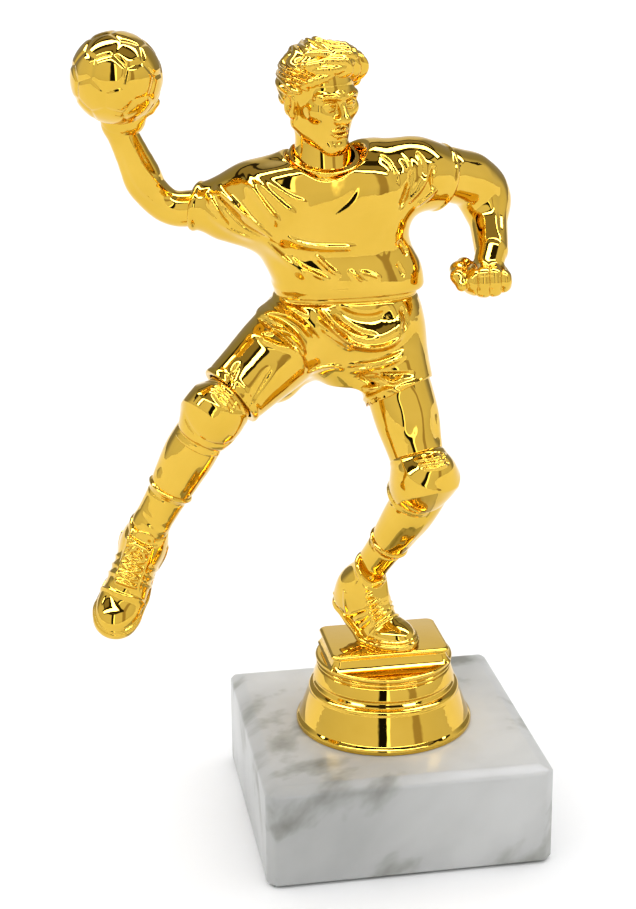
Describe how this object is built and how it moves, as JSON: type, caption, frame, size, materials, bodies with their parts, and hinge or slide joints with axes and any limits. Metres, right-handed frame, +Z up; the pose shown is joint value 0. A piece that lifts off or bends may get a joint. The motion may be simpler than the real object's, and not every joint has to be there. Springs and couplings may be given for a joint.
{
  "type": "figure trophy",
  "caption": "Gold handball-player figure throwing a ball, on a stepped round plinth bolted to a square marble base; the figure turns about its bolt.",
  "frame": {"origin": "middle of the felt pad's underside, on the axis of the fixing bolt", "axes": "+Z up along the fixing bolt, -Y towards the front of the base, +X to the right seen from the front"},
  "size_m": [0.0923, 0.06, 0.1695],
  "materials": {
    "gold_finish": "mirror gold, vacuum-metallised and lacquered",
    "marble": "polished white marble with soft grey veins",
    "felt": "short-pile felt",
    "zinc_steel": "bright zinc-plated steel"
  },
  "bodies": {
    "base": {"marble_base": "marble", "felt_pad": "felt", "fixing_washer": "zinc_steel"},
    "figure": {"fixing_bolt": "zinc_steel", "captive_nut": "zinc_steel", "plinth_skirt": "gold_finish", "plinth_drum": "gold_finish", "foot_plate": "gold_finish", "support_shoe": "gold_finish", "support_sock": "gold_finish", "support_calf": "gold_finish", "support_knee_pad": "gold_finish", "support_thigh": "gold_finish", "swing_shoe": "gold_finish", "swing_sock": "gold_finish", "swing_calf": "gold_finish", "swing_knee_pad": "gold_finish", "swing_thigh": "gold_finish", "shorts": "gold_finish", "shirt": "gold_finish", "neck": "gold_finish", "head": "gold_finish", "hair": "gold_finish", "throwing_arm": "gold_finish", "throwing_hand": "gold_finish", "ball": "gold_finish", "guard_arm": "gold_finish", "guard_fist": "gold_finish"}
  },
  "joints": [
    {"name": "figure_turn", "type": "hinge", "parent": "base", "child": "figure", "pos_m": [0, 0, 0.022], "axis": [0, 0, 1], "continuous": true}
  ]
}
